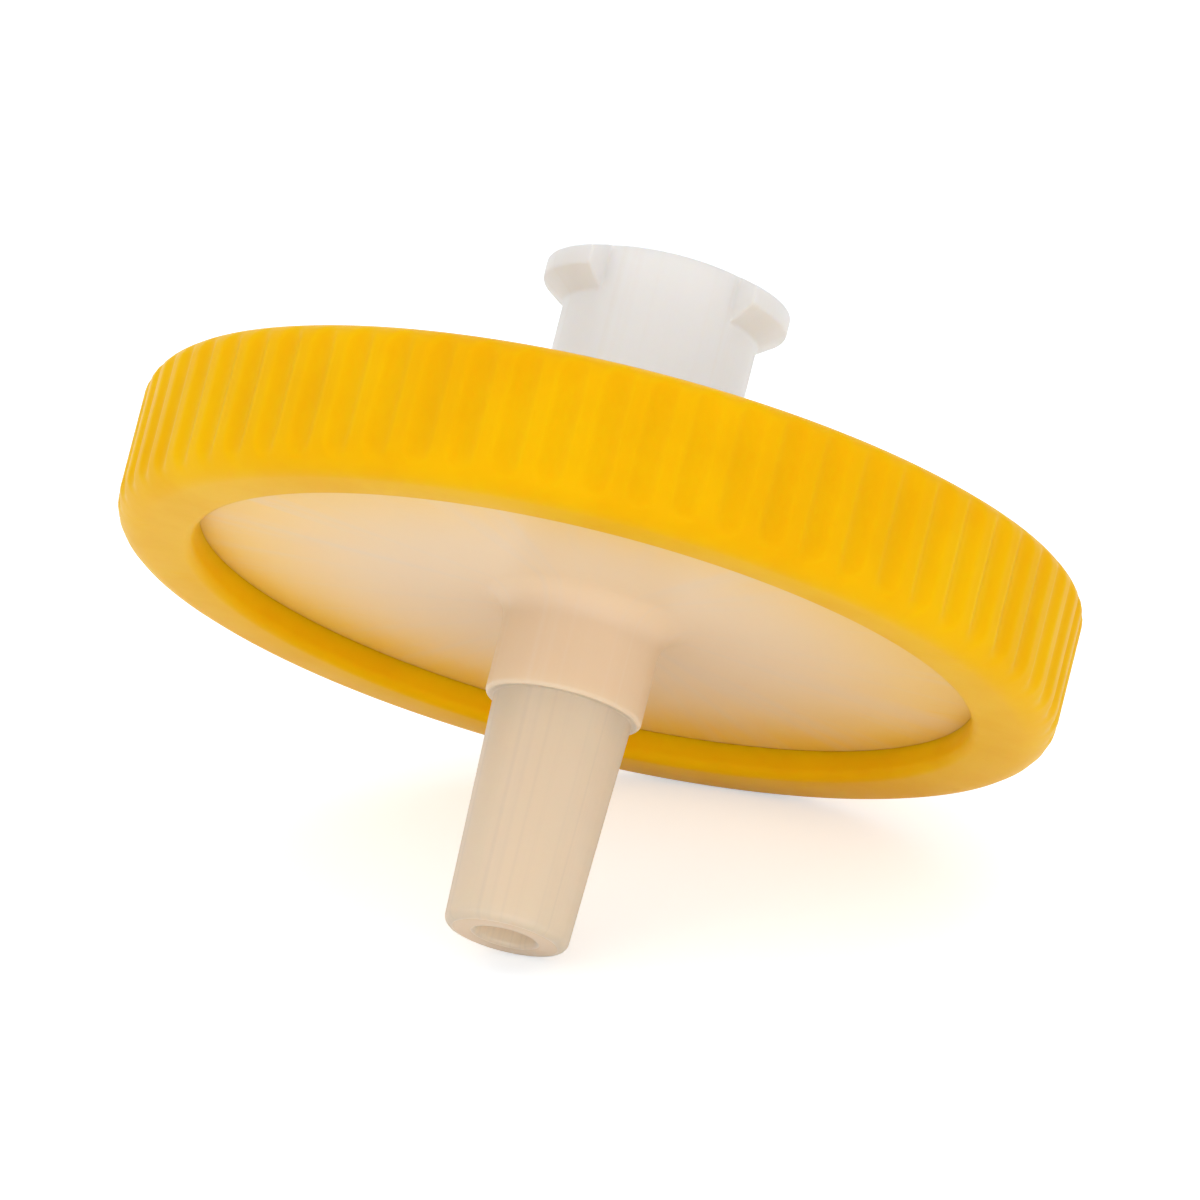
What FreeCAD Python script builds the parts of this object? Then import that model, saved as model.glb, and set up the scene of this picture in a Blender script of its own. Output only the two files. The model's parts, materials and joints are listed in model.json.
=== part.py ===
"""Syringe filter of the 25 mm class, with a female Luer lock inlet and a male Luer slip outlet.

Two natural polypropylene shells clamp a nylon membrane between them, and a yellow ring
is moulded over their edges. Every piece is modelled about its flow axis: Z runs along the
flow with the inlet up, and Z = 0 is the middle of the membrane. One placement then lays all
of them down as the filter comes to rest, on the ring's outer edge and the outlet's tip.
"""

import FreeCAD
import Part
import Sketcher
import math
import os

# ---------------------------------------------------------------------------------------
# Driving dimensions, in millimetres and degrees
# ---------------------------------------------------------------------------------------

SIZES = [
    # Membrane, and the shallow chambers on both sides of it
    ("membrane_diameter", 25.0),
    ("membrane_thickness", 0.15),
    ("membrane_clearance", 0.1),  # between the membrane's edge and its seat
    ("clamp_width", 1.8),  # rim of the membrane that the shells clamp
    ("inlet_chamber", 0.2),
    ("outlet_chamber", 0.2),
    # Walls of the two shells
    ("inlet_plate", 0.8),
    ("outlet_plate", 1.2),
    ("flange_rim", 1.0),  # from the membrane's seat to the flange's edge
    ("panel_margin", 1.65),  # from the ring's opening to the raised middle of the inlet face
    ("panel_rise", 0.2),
    ("panel_edge_radius", 0.15),
    # Inlet: hub with a 6 % Luer socket and two lock lugs
    ("luer_taper", 0.06),
    ("socket_mouth", 4.3),
    ("socket_depth", 7.8),
    ("socket_floor", 1.45),  # from the socket's end to the chamber
    ("socket_lead_in", 0.15),
    ("inlet_port", 1.8),
    ("hub_wall", 0.95),  # at the mouth
    ("hub_root_radius", 0.6),
    ("lug_reach", 0.8),  # how far the lugs stand out from the hub
    ("lug_lead", 0.3),  # height over which a lug's top runs down from the mouth
    ("lug_rim", 0.6),  # height of its outer edge
    ("lug_slope", 0.6),  # height over which its underside runs back to the hub
    ("lug_angle", 96.0),
    ("lug_turn", 22.0),  # how far the lugs are turned from the row's X axis
    ("lug_bite", 0.3),  # overlap of a lug with the hub's wall
    # Outlet: collar and a 6 % Luer slip tip
    ("collar_step", 0.287),  # from the slip's wide end to the collar's wall
    ("collar_length", 3.3),
    ("collar_root_radius", 1.0),
    ("collar_chamfer", 0.15),
    ("slip_length", 7.5),
    ("slip_tip", 3.94),
    ("slip_edge_radius", 0.3),
    ("outlet_bore", 1.9),
    ("bore_chamfer", 0.15),
    # Flow spokes under the inlet plate
    ("spoke_count", 8),
    ("spoke_width", 0.5),
    ("spoke_port_gap", 1.3),  # from the port's wall to a spoke
    ("spoke_wall_gap", 0.9),  # from a spoke to the chamber's wall
    # Support arcs on the outlet plate: rings, cut into sectors by straight channels
    ("arc_rings", 5),
    ("sector_count", 12),
    ("channel_angle", 6.0),
    ("arc_width", 0.4),
    ("arc_bore_gap", 1.35),  # from the bore's wall to the first ring of arcs
    ("arc_wall_gap", 0.4),  # from the last ring of arcs to the chamber's wall
    # Moulded ring
    ("ring_wall", 1.4),  # from the flanges' edge to the ring's outer wall
    ("inlet_overlap", 2.45),  # how far the ring covers each flange
    ("outlet_overlap", 1.2),
    ("inlet_lip", 1.35),
    ("outlet_lip", 0.95),
    ("inlet_shoulder_radius", 0.7),
    ("outlet_shoulder_radius", 1.0),
    ("lip_edge_radius", 0.35),
    ("flute_count", 66),
    ("flute_width", 0.9),
    ("flute_depth", 0.17),
]

document = FreeCAD.newDocument("SyringeFilter")
sheet = document.addObject("Spreadsheet::Sheet", "Sizes")
for row, (alias, size) in enumerate(SIZES, start=1):
    sheet.set(f"A{row}", alias)
    sheet.set(f"B{row}", str(size))
    sheet.setAlias(f"B{row}", alias)
document.recompute()


def value(alias):
    """The number that the sheet holds for a size."""
    return float(getattr(sheet, alias))


# ---------------------------------------------------------------------------------------
# Heights and radii that more than one piece shares, as expressions of the sheet
# ---------------------------------------------------------------------------------------

MEMBRANE_TOP = "(Sizes.membrane_thickness / 2)"
MEMBRANE_BOTTOM = "(-Sizes.membrane_thickness / 2)"
INLET_INSIDE = f"({MEMBRANE_TOP} + Sizes.inlet_chamber)"
INLET_FACE = f"({INLET_INSIDE} + Sizes.inlet_plate)"
INLET_PANEL = f"({INLET_FACE} + Sizes.panel_rise)"
INLET_EDGE = f"({INLET_FACE} + Sizes.inlet_lip)"
SOCKET_END = f"({INLET_INSIDE} + Sizes.socket_floor)"
INLET_MOUTH = f"({SOCKET_END} + Sizes.socket_depth)"
LUG_RIM_START = f"({INLET_MOUTH} - Sizes.lug_lead)"
LUG_RIM_END = f"({LUG_RIM_START} - Sizes.lug_rim)"
LUG_SLOPE_END = f"({LUG_RIM_END} - Sizes.lug_slope)"
OUTLET_INSIDE = f"({MEMBRANE_BOTTOM} - Sizes.outlet_chamber)"
OUTLET_FACE = f"({OUTLET_INSIDE} - Sizes.outlet_plate)"
OUTLET_EDGE = f"({OUTLET_FACE} - Sizes.outlet_lip)"
COLLAR_END = f"({OUTLET_FACE} - Sizes.collar_length)"
OUTLET_TIP = f"({COLLAR_END} - Sizes.slip_length)"

CHAMBER_RADIUS = "(Sizes.membrane_diameter / 2 - Sizes.clamp_width)"
SEAT_RADIUS = "(Sizes.membrane_diameter / 2 + Sizes.membrane_clearance)"
FLANGE_RADIUS = f"({SEAT_RADIUS} + Sizes.flange_rim)"
GRIP_RADIUS = f"({FLANGE_RADIUS} + Sizes.ring_wall)"
INLET_OPENING_RADIUS = f"({FLANGE_RADIUS} - Sizes.inlet_overlap)"
OUTLET_OPENING_RADIUS = f"({FLANGE_RADIUS} - Sizes.outlet_overlap)"
PANEL_RADIUS = f"({INLET_OPENING_RADIUS} - Sizes.panel_margin)"
HUB_RADIUS = "(Sizes.socket_mouth / 2 + Sizes.hub_wall)"
LUG_RADIUS = f"({HUB_RADIUS} + Sizes.lug_reach)"
SOCKET_END_RADIUS = "(Sizes.socket_mouth - Sizes.luer_taper * Sizes.socket_depth) / 2"
SLIP_BASE_RADIUS = "(Sizes.slip_tip + Sizes.luer_taper * Sizes.slip_length) / 2"
COLLAR_RADIUS = f"({SLIP_BASE_RADIUS} + Sizes.collar_step)"
PORT_RADIUS = "Sizes.inlet_port / 2"
BORE_RADIUS = "Sizes.outlet_bore / 2"
FIRST_ARC = f"({BORE_RADIUS} + Sizes.arc_bore_gap)"
LAST_ARC = f"({CHAMBER_RADIUS} - Sizes.arc_wall_gap - Sizes.arc_width)"
ARC_PITCH = f"(({LAST_ARC} - {FIRST_ARC}) / (Sizes.arc_rings - 1))"

# ---------------------------------------------------------------------------------------
# Modelling helpers
# ---------------------------------------------------------------------------------------

corner_lines = {}  # name of a profile's corner: its sketch, and the line that starts there


def new_body(label):
    """An empty body, whose label names its file."""
    body = document.addObject("PartDesign::Body", label)
    body.Label = label
    return body


def origin_feature(body, role):
    """One of the body's own origin planes and axes, such as XZ_Plane or Z_Axis."""
    return next(f for f in body.Origin.OriginFeatures if f.Role == role)


def new_sketch(body, name, role):
    """An empty sketch on one of the body's origin planes."""
    sketch = body.newObject("Sketcher::SketchObject", name)
    sketch.AttachmentSupport = [(origin_feature(body, role), "")]
    sketch.MapMode = "FlatFace"
    return sketch


def bind(sketch, kind, places, drawn, expression):
    """Adds a constraint with the size as drawn, which from then on follows an expression."""
    index = sketch.addConstraint(Sketcher.Constraint(kind, *places, drawn))
    sketch.setExpression(f"Constraints[{index}]", expression)


def pin_point(sketch, line, end, across, along):
    """Puts one end of a line at a place given by two expressions."""
    drawn = sketch.getPoint(line, end)
    bind(sketch, "DistanceX", (-1, 1, line, end), drawn.x, across)
    bind(sketch, "DistanceY", (-1, 1, line, end), drawn.y, along)


def add_outline(sketch, corners):
    """A closed outline of straight lines. Each corner is a pair of expressions."""
    first = sketch.GeometryCount
    count = len(corners)
    turn = 2 * math.pi / count
    rough = [FreeCAD.Vector(5 + math.cos(i * turn), math.sin(i * turn)) for i in range(count)]
    for i in range(count):
        sketch.addGeometry(Part.LineSegment(rough[i], rough[(i + 1) % count]), False)
    for i, (across, along) in enumerate(corners):
        line = first + i
        following = first + (i + 1) % count
        sketch.addConstraint(Sketcher.Constraint("Coincident", line, 2, following, 1))
        pin_point(sketch, line, 1, across, along)


def profile(body, name, corners):
    """A closed outline in the plane through the flow axis. Each corner has a name, a radius
    and a height."""
    sketch = new_sketch(body, name, "XZ_Plane")
    add_outline(sketch, [place for _, *place in corners])
    for line, (corner, *_) in enumerate(corners):
        corner_lines[corner] = (sketch, line)
    return sketch


def corner_place(corner):
    """Radius and height of a named corner."""
    sketch, line = corner_lines[corner]
    point = sketch.getPoint(line, 1)
    return point.x, point.y


def spin(body, kind, name, sketch, angle=None):
    """Turns a profile about the flow axis: all round, or half of an angle to each side."""
    feature = body.newObject(f"PartDesign::{kind}", name)
    feature.Profile = sketch
    feature.ReferenceAxis = (sketch, ["V_Axis"])
    feature.Angle = 360.0
    if angle is not None:
        feature.Midplane = True
        feature.setExpression("Angle", angle)
    document.recompute()
    return feature


def pad(body, name, sketch, length):
    """Raises a sketch along its normal."""
    feature = body.newObject("PartDesign::Pad", name)
    feature.Profile = sketch
    feature.setExpression("Length", length)
    document.recompute()
    return feature


def repeat_around(body, name, feature, count):
    """Copies a feature evenly about the flow axis."""
    pattern = body.newObject("PartDesign::PolarPattern", name)
    pattern.Originals = [feature]
    pattern.Axis = (origin_feature(body, "Z_Axis"), [""])
    pattern.Angle = 360.0
    pattern.setExpression("Occurrences", count)
    body.Tip = pattern
    document.recompute()
    return pattern


def swept_edges(shape, corner, near=1e-4):
    """Names of the round edges that a named corner sweeps."""
    radius, height = corner_place(corner)
    names = []
    for number, edge in enumerate(shape.Edges, start=1):
        if isinstance(edge.Curve, Part.Circle):
            off_radius = abs(edge.Curve.Radius - radius)
            off_height = abs(edge.Curve.Center.z - height)
            if off_radius < near and off_height < near:
                names.append(f"Edge{number}")
    return names


def dress(body, kind, name, amount, corners):
    """Fillets or chamfers the edges that the named corners sweep."""
    base = body.Tip
    edges = [edge for corner in corners for edge in swept_edges(base.Shape, corner)]
    feature = body.newObject(f"PartDesign::{kind}", name)
    feature.Base = (base, edges)
    feature.setExpression("Radius" if kind == "Fillet" else "Size", amount)
    document.recompute()
    return feature


# ---------------------------------------------------------------------------------------
# Inlet housing: plate, clamping rim, hub with its lugs, socket, port and flow spokes
# ---------------------------------------------------------------------------------------


def make_inlet_housing():
    body = new_body("inlet_housing")
    shell = [
        ("inlet_axis_inside", "0", INLET_INSIDE),
        ("inlet_chamber_roof", CHAMBER_RADIUS, INLET_INSIDE),
        ("inlet_clamp", CHAMBER_RADIUS, MEMBRANE_TOP),
        ("inlet_flange_inside", FLANGE_RADIUS, MEMBRANE_TOP),
        ("inlet_flange_outside", FLANGE_RADIUS, INLET_FACE),
        ("panel_foot", PANEL_RADIUS, INLET_FACE),
        ("panel_edge", PANEL_RADIUS, INLET_PANEL),
        ("hub_root", HUB_RADIUS, INLET_PANEL),
        ("hub_rim", HUB_RADIUS, INLET_MOUTH),
        ("inlet_axis_mouth", "0", INLET_MOUTH),
    ]
    spin(body, "Revolution", "shell", profile(body, "shell_profile", shell))
    dress(body, "Fillet", "hub_root_round", "Sizes.hub_root_radius", ["hub_root"])
    dress(body, "Fillet", "panel_round", "Sizes.panel_edge_radius", ["panel_edge"])

    inside_hub = f"({HUB_RADIUS} - Sizes.lug_bite)"
    lug = [
        ("lug_mouth", inside_hub, INLET_MOUTH),
        ("lug_lead_start", HUB_RADIUS, INLET_MOUTH),
        ("lug_tip", LUG_RADIUS, LUG_RIM_START),
        ("lug_tip_end", LUG_RADIUS, LUG_RIM_END),
        ("lug_slope_end", HUB_RADIUS, LUG_SLOPE_END),
        ("lug_bite_end", inside_hub, LUG_SLOPE_END),
    ]
    lug_profile = profile(body, "lug_profile", lug)
    first_lug = spin(body, "Revolution", "first_lug", lug_profile, "Sizes.lug_angle")
    repeat_around(body, "lugs", first_lug, "2")

    socket = [
        ("socket_axis_mouth", "0", INLET_MOUTH),
        ("socket_mouth", "Sizes.socket_mouth / 2", INLET_MOUTH),
        ("socket_end", SOCKET_END_RADIUS, SOCKET_END),
        ("port_start", PORT_RADIUS, SOCKET_END),
        ("port_end", PORT_RADIUS, INLET_INSIDE),
        ("socket_axis_end", "0", INLET_INSIDE),
    ]
    spin(body, "Groove", "socket", profile(body, "socket_profile", socket))
    dress(body, "Chamfer", "socket_lead", "Sizes.socket_lead_in", ["socket_mouth"])

    spoke = new_sketch(body, "spoke_sketch", "XY_Plane")
    spoke.setExpression(".AttachmentOffset.Base.z", MEMBRANE_TOP)
    spoke_start = f"({PORT_RADIUS} + Sizes.spoke_port_gap)"
    spoke_end = f"({CHAMBER_RADIUS} - Sizes.spoke_wall_gap)"
    low_side = "-Sizes.spoke_width / 2"
    high_side = "Sizes.spoke_width / 2"
    add_outline(
        spoke,
        [
            (spoke_start, low_side),
            (spoke_end, low_side),
            (spoke_end, high_side),
            (spoke_start, high_side),
        ],
    )
    first_spoke = pad(body, "first_spoke", spoke, "Sizes.inlet_chamber")
    repeat_around(body, "spokes", first_spoke, "Sizes.spoke_count")
    return body


# ---------------------------------------------------------------------------------------
# Outlet housing: plate, membrane seat, collar, slip tip, bore and support arcs
# ---------------------------------------------------------------------------------------


def make_outlet_housing():
    body = new_body("outlet_housing")
    shell = [
        ("bore_start", BORE_RADIUS, OUTLET_INSIDE),
        ("outlet_chamber_floor", CHAMBER_RADIUS, OUTLET_INSIDE),
        ("seat_inner", CHAMBER_RADIUS, MEMBRANE_BOTTOM),
        ("seat_outer", SEAT_RADIUS, MEMBRANE_BOTTOM),
        ("seat_wall", SEAT_RADIUS, MEMBRANE_TOP),
        ("outlet_flange_inside", FLANGE_RADIUS, MEMBRANE_TOP),
        ("outlet_flange_outside", FLANGE_RADIUS, OUTLET_FACE),
        ("collar_root", COLLAR_RADIUS, OUTLET_FACE),
        ("collar_end", COLLAR_RADIUS, COLLAR_END),
        ("slip_base", SLIP_BASE_RADIUS, COLLAR_END),
        ("slip_tip", "Sizes.slip_tip / 2", OUTLET_TIP),
        ("bore_end", BORE_RADIUS, OUTLET_TIP),
    ]
    spin(body, "Revolution", "shell", profile(body, "shell_profile", shell))
    dress(body, "Fillet", "collar_root_round", "Sizes.collar_root_radius", ["collar_root"])
    dress(body, "Chamfer", "collar_bevel", "Sizes.collar_chamfer", ["collar_end"])
    dress(body, "Fillet", "tip_round", "Sizes.slip_edge_radius", ["slip_tip"])
    dress(body, "Chamfer", "bore_bevel", "Sizes.bore_chamfer", ["bore_end"])

    arcs = new_sketch(body, "arc_profile", "XZ_Plane")
    for ring in range(int(value("arc_rings"))):
        inner = f"({FIRST_ARC} + {ring} * {ARC_PITCH})"
        outer = f"({inner} + Sizes.arc_width)"
        add_outline(
            arcs,
            [
                (inner, OUTLET_INSIDE),
                (outer, OUTLET_INSIDE),
                (outer, MEMBRANE_BOTTOM),
                (inner, MEMBRANE_BOTTOM),
            ],
        )
    sector_angle = "360 / Sizes.sector_count - Sizes.channel_angle"
    first_sector = spin(body, "Revolution", "first_sector", arcs, sector_angle)
    repeat_around(body, "support_arcs", first_sector, "Sizes.sector_count")
    return body


# ---------------------------------------------------------------------------------------
# Membrane
# ---------------------------------------------------------------------------------------


def make_membrane():
    body = new_body("membrane")
    disc = [
        ("membrane_axis_bottom", "0", MEMBRANE_BOTTOM),
        ("membrane_edge_bottom", "Sizes.membrane_diameter / 2", MEMBRANE_BOTTOM),
        ("membrane_edge_top", "Sizes.membrane_diameter / 2", MEMBRANE_TOP),
        ("membrane_axis_top", "0", MEMBRANE_TOP),
    ]
    spin(body, "Revolution", "disc", profile(body, "disc_profile", disc))
    return body


# ---------------------------------------------------------------------------------------
# Grip ring: grips both flanges from outside, stands proud of both faces and is fluted
# ---------------------------------------------------------------------------------------


def make_grip_ring():
    body = new_body("grip_ring")
    section = [
        ("inlet_lip", INLET_OPENING_RADIUS, INLET_EDGE),
        ("inlet_shoulder", GRIP_RADIUS, INLET_EDGE),
        ("outlet_shoulder", GRIP_RADIUS, OUTLET_EDGE),
        ("outlet_lip", OUTLET_OPENING_RADIUS, OUTLET_EDGE),
        ("outlet_lip_root", OUTLET_OPENING_RADIUS, OUTLET_FACE),
        ("outlet_pocket", FLANGE_RADIUS, OUTLET_FACE),
        ("inlet_pocket", FLANGE_RADIUS, INLET_FACE),
        ("inlet_lip_root", INLET_OPENING_RADIUS, INLET_FACE),
    ]
    spin(body, "Revolution", "ring", profile(body, "ring_profile", section))
    for side in ("inlet", "outlet"):
        shoulder_radius = f"Sizes.{side}_shoulder_radius"
        dress(body, "Fillet", f"{side}_round", shoulder_radius, [f"{side}_shoulder"])
    dress(body, "Fillet", "lip_round", "Sizes.lip_edge_radius", ["inlet_lip", "outlet_lip"])

    first_flute = body.newObject("PartDesign::Pocket", "first_flute")
    first_flute.Profile = flute_sketch(body)
    first_flute.Type = "ThroughAll"
    first_flute.Midplane = True
    document.recompute()
    repeat_around(body, "flutes", first_flute, "Sizes.flute_count")
    return body


def flute_sketch(body):
    """The round cutter that leaves one shallow upright flute in the ring's outer wall. It
    runs the whole height, and fades out where the rounded shoulders fall away."""
    sketch = new_sketch(body, "flute_sketch", "XY_Plane")
    drawn_radius = value("flute_width")
    drawn_centre = FreeCAD.Vector(value("membrane_diameter"), 0)
    axis = FreeCAD.Vector(0, 0, 1)
    cutter = sketch.addGeometry(Part.Circle(drawn_centre, axis, drawn_radius), False)
    depth = "Sizes.flute_depth"
    radius = f"((Sizes.flute_width ^ 2 / 4 + {depth} ^ 2) / (2 * {depth}))"
    bind(sketch, "Radius", (cutter,), drawn_radius, radius)
    centre = f"{GRIP_RADIUS} - {depth} + {radius}"
    bind(sketch, "DistanceX", (-1, 1, cutter, 3), drawn_centre.x, centre)
    sketch.addConstraint(Sketcher.Constraint("PointOnObject", cutter, 3, -1))
    return sketch


# ---------------------------------------------------------------------------------------
# Rest: the filter lies on the ring's outlet shoulder and on the outlet's tip
# ---------------------------------------------------------------------------------------


def rounded_edge(corner, alias, taper=0.0):
    """Section of a rounded edge on the outlet side: radius and depth of its centre, and its
    own radius. On a tapered wall the centre stands a little further out."""
    radius, height = corner_place(corner)
    edge_radius = value(alias)
    inset = edge_radius * (1 - taper / 2)
    return radius - inset, -height - edge_radius, edge_radius


def lean_and_lift():
    """Angle between the disc and the floor, in radians, and height of the membrane's middle,
    when the floor is tangent to both rounded edges."""
    ring = rounded_edge("outlet_shoulder", "outlet_shoulder_radius")
    tip = rounded_edge("slip_tip", "slip_edge_radius", value("luer_taper"))
    ring_across, ring_down, ring_edge = ring
    tip_across, tip_down, tip_edge = tip
    across = ring_across - tip_across
    down = tip_down - ring_down
    span = math.hypot(across, down)
    lean = math.atan2(down, across) - math.asin((ring_edge - tip_edge) / span)
    lift = ring_across * math.sin(lean) + ring_down * math.cos(lean) + ring_edge
    return lean, lift


def lay_down(bodies):
    """Leans the pieces as one, sets them on the floor and centres their box on the origin."""
    lean, lift = lean_and_lift()
    tilt = FreeCAD.Rotation(FreeCAD.Vector(1, 0, 0), -math.degrees(lean))
    for body in bodies:
        body.Placement = FreeCAD.Placement(FreeCAD.Vector(0, 0, lift), tilt)
    footprint = FreeCAD.BoundBox()
    for body in bodies:
        footprint.add(body.Shape.optimalBoundingBox(False))
    shift = FreeCAD.Vector(0, -footprint.Center.y, lift)
    for body in bodies:
        body.Placement = FreeCAD.Placement(shift, tilt)


def turn_lugs(body):
    """Turns the inlet housing about the flow axis, and its lugs with it."""
    turn = FreeCAD.Rotation(FreeCAD.Vector(0, 0, 1), value("lug_turn"))
    body.Placement = body.Placement.multiply(FreeCAD.Placement(FreeCAD.Vector(), turn))


def check(bodies):
    """Stops if an object failed to recompute or a piece isn't one sound solid."""
    for item in document.Objects:
        if {"Invalid", "Error"} & set(item.State):
            raise RuntimeError(f"{item.Name} did not recompute: {item.State}")
    for body in bodies:
        shape = body.Shape
        if shape.isNull() or not shape.isValid() or len(shape.Solids) != 1:
            raise RuntimeError(f"{body.Label} is not one sound solid")


inlet_housing = make_inlet_housing()
pieces = [inlet_housing, make_outlet_housing(), make_membrane(), make_grip_ring()]
lay_down(pieces)
turn_lugs(inlet_housing)
document.recompute()
check(pieces)

os.makedirs("parts", exist_ok=True)
for piece in pieces:
    piece.Shape.exportStep(f"parts/{piece.Label}.step")
    print(f"{piece.Label}: {piece.Shape.Volume:.1f} mm3, {len(piece.Shape.Faces)} faces")
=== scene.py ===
# %% [markdown]
# # Dressing a syringe filter
# A syringe filter is a small disc that cleans a liquid on its way out of a syringe. A yellow
# ring is moulded around two shells of natural polypropylene, and the shells clamp a thin white
# membrane between them. The construction model already holds every size, so this script loads
# it as a fixed frame and never moves it. What it adds is the look: finer meshes in the very
# same place, and a finish for each of them.

# %% Load the construction model
import json
import math

import bmesh
import bpy
from mathutils import Matrix, Vector


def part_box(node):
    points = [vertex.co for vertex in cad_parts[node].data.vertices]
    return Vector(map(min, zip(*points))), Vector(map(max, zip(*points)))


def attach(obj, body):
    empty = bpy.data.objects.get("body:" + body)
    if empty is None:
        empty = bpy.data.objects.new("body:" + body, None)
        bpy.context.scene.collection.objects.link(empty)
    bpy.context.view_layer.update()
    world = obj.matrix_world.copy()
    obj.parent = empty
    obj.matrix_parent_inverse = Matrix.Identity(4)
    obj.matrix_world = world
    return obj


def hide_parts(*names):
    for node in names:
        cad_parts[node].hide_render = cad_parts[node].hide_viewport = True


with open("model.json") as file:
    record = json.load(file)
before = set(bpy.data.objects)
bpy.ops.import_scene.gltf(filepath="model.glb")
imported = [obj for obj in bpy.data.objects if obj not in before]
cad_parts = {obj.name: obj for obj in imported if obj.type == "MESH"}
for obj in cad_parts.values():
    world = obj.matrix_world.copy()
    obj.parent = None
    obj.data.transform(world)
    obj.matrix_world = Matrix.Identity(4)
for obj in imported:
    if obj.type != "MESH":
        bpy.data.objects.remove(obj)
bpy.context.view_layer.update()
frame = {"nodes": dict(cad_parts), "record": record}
print("construction nodes:", ", ".join(sorted(frame["nodes"])))

# %% [markdown]
# ## A frame that follows the liquid
# The filter lies tilted on its ring and its tip, yet every part of it is round about one line:
# the way that the liquid flows. Modelling in the tilted frame would mean trigonometry in every
# cell. It is simpler to model upright about Z, in millimetres, with the inlet on top and the
# membrane's middle at zero, and to lay each finished mesh down with one matrix. The mounts in
# the record give the direction, and the membrane's box gives the middle.

# %% Find the flow axis
MM = 0.001  # metres in a millimetre

mounts = {mount["name"]: mount for mount in frame["record"]["mounts"]}
flow = Vector(mounts["inlet_luer"]["axis"]).normalized()
level = Vector((1, 0, 0))
lay_down = Matrix((level, flow.cross(level), flow)).transposed().to_4x4()
membrane_low, membrane_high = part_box("membrane")
middle = (membrane_low + membrane_high) / 2
lay_down.translation = middle
lay_down = lay_down @ Matrix.Scale(MM, 4)
lean = math.acos(flow.z)
print(f"the disc leans {math.degrees(lean):.1f} degrees")

# %% [markdown]
# ## Reading sizes off the frame
# A size that is typed in twice will disagree with itself one day. The radii and heights that
# matter are therefore read from the vertices of the construction model, once they are turned
# back upright. Only what can't be seen there, such as how soft an edge is, is a number below.

# %% Measure the construction model
def upright(node):
    """Radius, height and turn of each vertex of a node about the flow axis."""
    stand_up = lay_down.inverted()
    places = [stand_up @ vertex.co for vertex in frame["nodes"][node].data.vertices]
    return [(math.hypot(p.x, p.y), p.z, math.atan2(p.y, p.x)) for p in places]


NEAR = 0.01  # two readings this close are the same

ring_points = upright("grip_ring")
ring_radius = max(r for r, z, turn in ring_points)
inlet_edge = max(z for r, z, turn in ring_points)
outlet_edge = min(z for r, z, turn in ring_points)
inlet_opening = min(r for r, z, turn in ring_points if z > 0)
outlet_opening = min(r for r, z, turn in ring_points if z < 0)
inlet_face = min(z for r, z, turn in ring_points if z > 0 and r < inlet_opening + NEAR)
outlet_face = max(z for r, z, turn in ring_points if z < 0 and r < outlet_opening + NEAR)

inlet_points = upright("inlet_housing")
flange_radius = max(r for r, z, turn in inlet_points)
mouth = max(z for r, z, turn in inlet_points)
lug_points = [(r, z, turn) for r, z, turn in inlet_points if z > mouth / 2]
lug_radius = max(r for r, z, turn in lug_points)
lug_turns = [turn for r, z, turn in lug_points if r > lug_radius - NEAR and abs(turn) < math.pi / 2]
lug_middle = (max(lug_turns) + min(lug_turns)) / 2
lug_half = (max(lug_turns) - min(lug_turns)) / 2
lug_rim_heights = [z for r, z, turn in lug_points if r > lug_radius - NEAR]
lug_rim_start = max(lug_rim_heights)
lug_rim_end = min(lug_rim_heights)

outlet_points = upright("outlet_housing")
tip = min(z for r, z, turn in outlet_points)
membrane_points = upright("membrane")
membrane_radius = max(r for r, z, turn in membrane_points)
membrane_half = max(z for r, z, turn in membrane_points)
print(f"ring {2 * ring_radius:.2f} mm, from {outlet_edge:.2f} to {inlet_edge:.2f} mm")
print(f"mouth at {mouth:.2f} mm, tip at {tip:.2f} mm, lugs {2 * lug_radius:.2f} mm across")
print(f"lugs: middle at {math.degrees(lug_middle):.1f}, half {math.degrees(lug_half):.1f} degrees")

# %% [markdown]
# ## Turned shapes
# All the pieces are turned shapes, as if cut on a lathe. In Blender a turned shape is an outline
# on one side of the axis that the spin operator carries round. The outline starts with sharp
# corners, and a vertex bevel rounds each by its own amount, which is quicker to read and to
# change than a long list of points on arcs. Moulded plastic never has a truly sharp edge, and
# the small rounds are what catches the light.

# %% Outline and spin
FULL_TURN = math.tau


def outline(corners):
    """A closed outline from corners of radius, height and rounding, in millimetres."""
    shape = bmesh.new()
    corner_verts = [shape.verts.new((radius, 0, height)) for radius, height, rounding in corners]
    for here, there in zip(corner_verts, corner_verts[1:] + corner_verts[:1]):
        shape.edges.new((here, there))
    for vert, (radius, height, rounding) in zip(corner_verts, corners):
        if rounding:
            bmesh.ops.bevel(
                shape, geom=[vert], offset=rounding, offset_type="OFFSET",
                segments=6, profile=0.5, material=-1, affect="VERTICES",
            )
    return shape


def spin_round(shape, columns, angle=FULL_TURN):
    """Carries the outline about the axis. A full turn closes on itself."""
    bmesh.ops.spin(
        shape, geom=shape.verts[:] + shape.edges[:], cent=(0, 0, 0), axis=(0, 0, 1),
        dvec=(0, 0, 0), angle=angle, steps=columns, use_merge=angle == FULL_TURN,
    )
    return shape


def turn_of(place):
    """Angle of a place about the axis."""
    return math.atan2(place.y, place.x)


def radius_of(place):
    """Distance of a place from the axis."""
    return math.hypot(place.x, place.y)


# %% [markdown]
# ## From mesh to piece
# A finished shape goes through the same few steps: merge what lies double, point the faces
# outwards, mark the edges that stay crisp, lay the mesh down and hand it to the frame. The
# object itself stays at the origin, unturned and unscaled, exactly like a construction node.

# %% Finish a piece
CRISP = math.radians(40)  # a sharper fold than this is shaded as an edge
WELD = 0.0015


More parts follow.
